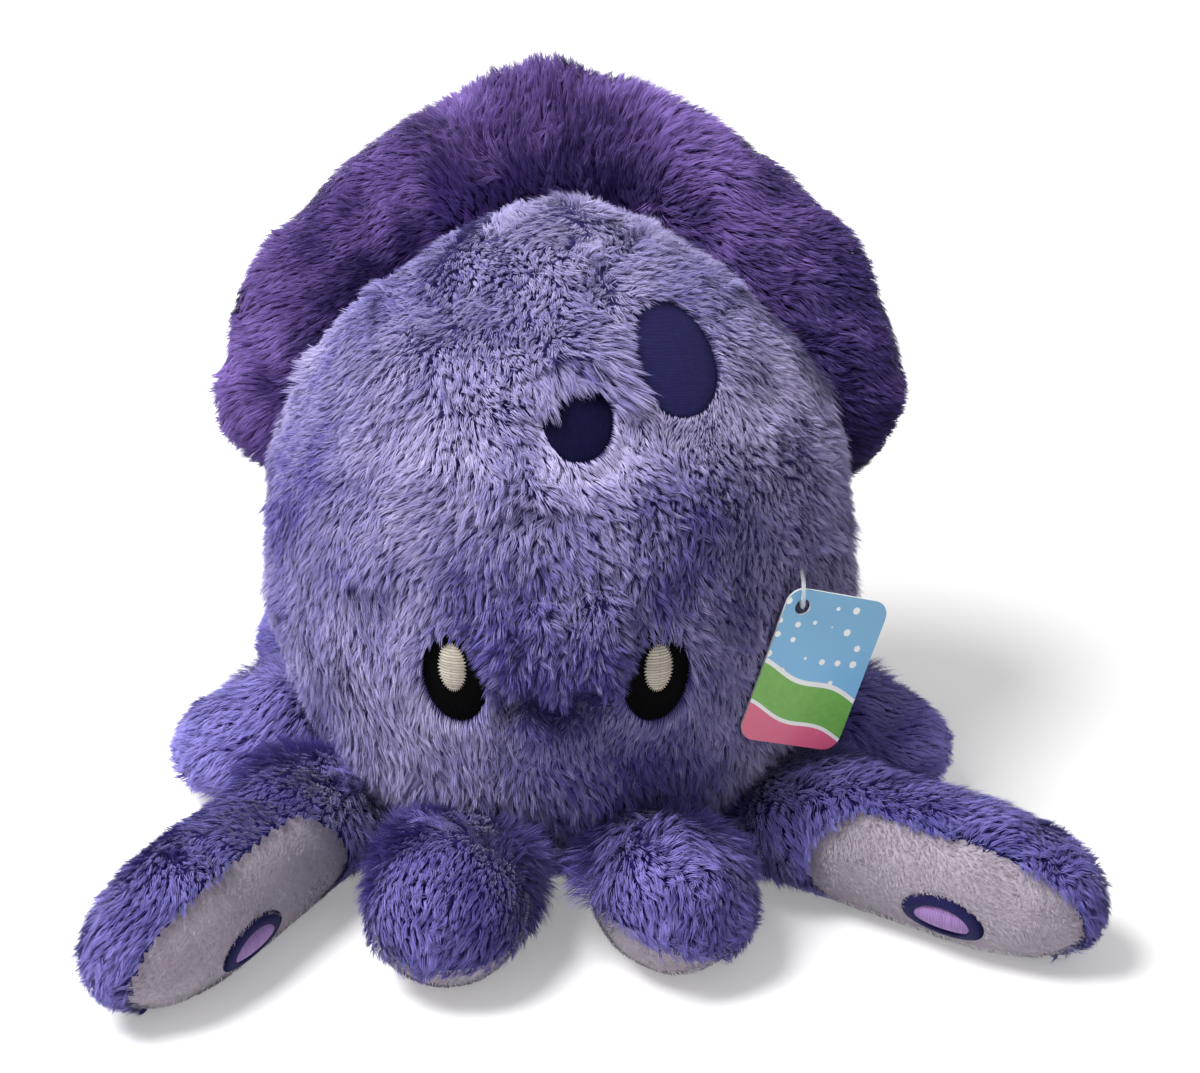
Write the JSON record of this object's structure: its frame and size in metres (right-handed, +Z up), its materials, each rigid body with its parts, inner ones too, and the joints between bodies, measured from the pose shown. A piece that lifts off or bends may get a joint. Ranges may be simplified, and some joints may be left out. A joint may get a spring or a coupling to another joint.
{
  "type": "plush squid",
  "caption": "Sitting plush squid with a round furry body, a padded fin over the top, soft arms in a ring, embroidered eyes, spots and suckers, and a card hang tag.",
  "frame": {"origin": "middle of the base panel, on the surface that the toy sits on", "axes": "+Z up, -Y the way the face looks, +X to the right in the picture"},
  "size_m": [0.28, 0.2543, 0.213],
  "materials": {
    "body_fur": "long soft lilac-blue pile, combed downwards",
    "arm_fur": "long soft blue-violet pile",
    "fin_fur": "long soft dark purple pile",
    "pale_fur": "short pale grey-lilac pile",
    "stuffing": "loose white polyester fibre",
    "black_thread": "dense satin-stitched thread",
    "cream_thread": "dense satin-stitched thread",
    "navy_thread": "dense satin-stitched thread",
    "lilac_thread": "dense satin-stitched thread",
    "tag_card": null,
    "tag_plastic": "thin clear plastic thread"
  },
  "bodies": {
    "body": {"face_panel": "body_fur", "back_panel": "body_fur", "base_panel": "body_fur", "body_stuffing": "stuffing", "eye_left": "black_thread", "eye_left_highlight": "cream_thread", "eye_right": "black_thread", "eye_right_highlight": "cream_thread", "spot_large": "navy_thread", "spot_small": "navy_thread", "tag_loop": "tag_plastic"},
    "fin": {"fin_front_panel": "fin_fur", "fin_back_panel": "fin_fur", "fin_stuffing": "stuffing"},
    "tag": {"hang_tag": "tag_card"},
    "front_left_arm": {"front_left_arm_top_panel": "arm_fur", "front_left_arm_under_panel": "pale_fur", "front_left_arm_stuffing": "stuffing"},
    "front_right_arm": {"front_right_arm_top_panel": "arm_fur", "front_right_arm_under_panel": "pale_fur", "front_right_arm_stuffing": "stuffing"},
    "feeding_left_arm": {"feeding_left_arm_top_panel": "arm_fur", "feeding_left_arm_under_panel": "pale_fur", "feeding_left_arm_stuffing": "stuffing", "feeding_left_arm_sucker_rim": "navy_thread", "feeding_left_arm_sucker_centre": "lilac_thread"},
    "feeding_right_arm": {"feeding_right_arm_top_panel": "arm_fur", "feeding_right_arm_under_panel": "pale_fur", "feeding_right_arm_stuffing": "stuffing", "feeding_right_arm_sucker_rim": "navy_thread", "feeding_right_arm_sucker_centre": "lilac_thread"},
    "side_left_arm": {"side_left_arm_top_panel": "arm_fur", "side_left_arm_under_panel": "pale_fur", "side_left_arm_stuffing": "stuffing"},
    "side_right_arm": {"side_right_arm_top_panel": "arm_fur", "side_right_arm_under_panel": "pale_fur", "side_right_arm_stuffing": "stuffing"},
    "rear_left_arm": {"rear_left_arm_top_panel": "arm_fur", "rear_left_arm_under_panel": "pale_fur", "rear_left_arm_stuffing": "stuffing"},
    "rear_right_arm": {"rear_right_arm_top_panel": "arm_fur", "rear_right_arm_under_panel": "pale_fur", "rear_right_arm_stuffing": "stuffing"},
    "back_left_arm": {"back_left_arm_top_panel": "arm_fur", "back_left_arm_under_panel": "pale_fur", "back_left_arm_stuffing": "stuffing"},
    "back_right_arm": {"back_right_arm_top_panel": "arm_fur", "back_right_arm_under_panel": "pale_fur", "back_right_arm_stuffing": "stuffing"}
  },
  "joints": [
    {"name": "fin_flop", "type": "hinge", "parent": "body", "child": "fin", "pos_m": [0, 0, 0.0935], "axis": [1, 0, 0], "range_deg": [-10, 10], "stiffness_Nm_per_rad": 1},
    {"name": "tag_swing", "type": "hinge", "parent": "body", "child": "tag", "pos_m": [0.069, -0.06048, 0.09449], "axis": [-0.9397, -0.342, 0], "range_deg": [0, 40]},
    {"name": "front_left_arm_lift", "type": "hinge", "parent": "body", "child": "front_left_arm", "pos_m": [-0.02787, -0.08579, 0.0195], "axis": [-0.9903, 0.1392, 0], "range_deg": [-35, 30], "stiffness_Nm_per_rad": 0.03},
    {"name": "front_right_arm_lift", "type": "hinge", "parent": "body", "child": "front_right_arm", "pos_m": [0.02787, -0.08579, 0.0195], "axis": [-0.9063, -0.4226, 0], "range_deg": [-35, 30], "stiffness_Nm_per_rad": 0.03},
    {"name": "feeding_left_arm_lift", "type": "hinge", "parent": "body", "child": "feeding_left_arm", "pos_m": [-0.07297, -0.05302, 0.0195], "axis": [-0.8704, 0.4924, 0], "range_deg": [-35, 30], "stiffness_Nm_per_rad": 0.03},
    {"name": "feeding_right_arm_lift", "type": "hinge", "parent": "body", "child": "feeding_right_arm", "pos_m": [0.07297, -0.05302, 0.0195], "axis": [-0.5446, -0.8387, 0], "range_deg": [-35, 5], "stiffness_Nm_per_rad": 0.03},
    {"name": "side_left_arm_lift", "type": "hinge", "parent": "body", "child": "side_left_arm", "pos_m": [-0.0902, 0, 0.0195], "axis": [-0.342, 0.9397, 0], "range_deg": [-35, 30], "stiffness_Nm_per_rad": 0.03},
    {"name": "side_right_arm_lift", "type": "hinge", "parent": "body", "child": "side_right_arm", "pos_m": [0.0902, 0, 0.0195], "axis": [-0.309, -0.9511, 0], "range_deg": [-35, 30], "stiffness_Nm_per_rad": 0.03},
    {"name": "rear_left_arm_lift", "type": "hinge", "parent": "body", "child": "rear_left_arm", "pos_m": [-0.07297, 0.05302, 0.0195], "axis": [0.6428, 0.766, 0], "range_deg": [-35, 30], "stiffness_Nm_per_rad": 0.03},
    {"name": "rear_right_arm_lift", "type": "hinge", "parent": "body", "child": "rear_right_arm", "pos_m": [0.07297, 0.05302, 0.0195], "axis": [0.6691, -0.7431, 0], "range_deg": [-35, 30], "stiffness_Nm_per_rad": 0.03},
    {"name": "back_left_arm_lift", "type": "hinge", "parent": "body", "child": "back_left_arm", "pos_m": [-0.02787, 0.08579, 0.0195], "axis": [0.9135, 0.4067, 0], "range_deg": [-35, 30], "stiffness_Nm_per_rad": 0.03},
    {"name": "back_right_arm_lift", "type": "hinge", "parent": "body", "child": "back_right_arm", "pos_m": [0.02787, 0.08579, 0.0195], "axis": [0.9397, -0.342, 0], "range_deg": [-35, 30], "stiffness_Nm_per_rad": 0.03}
  ]
}
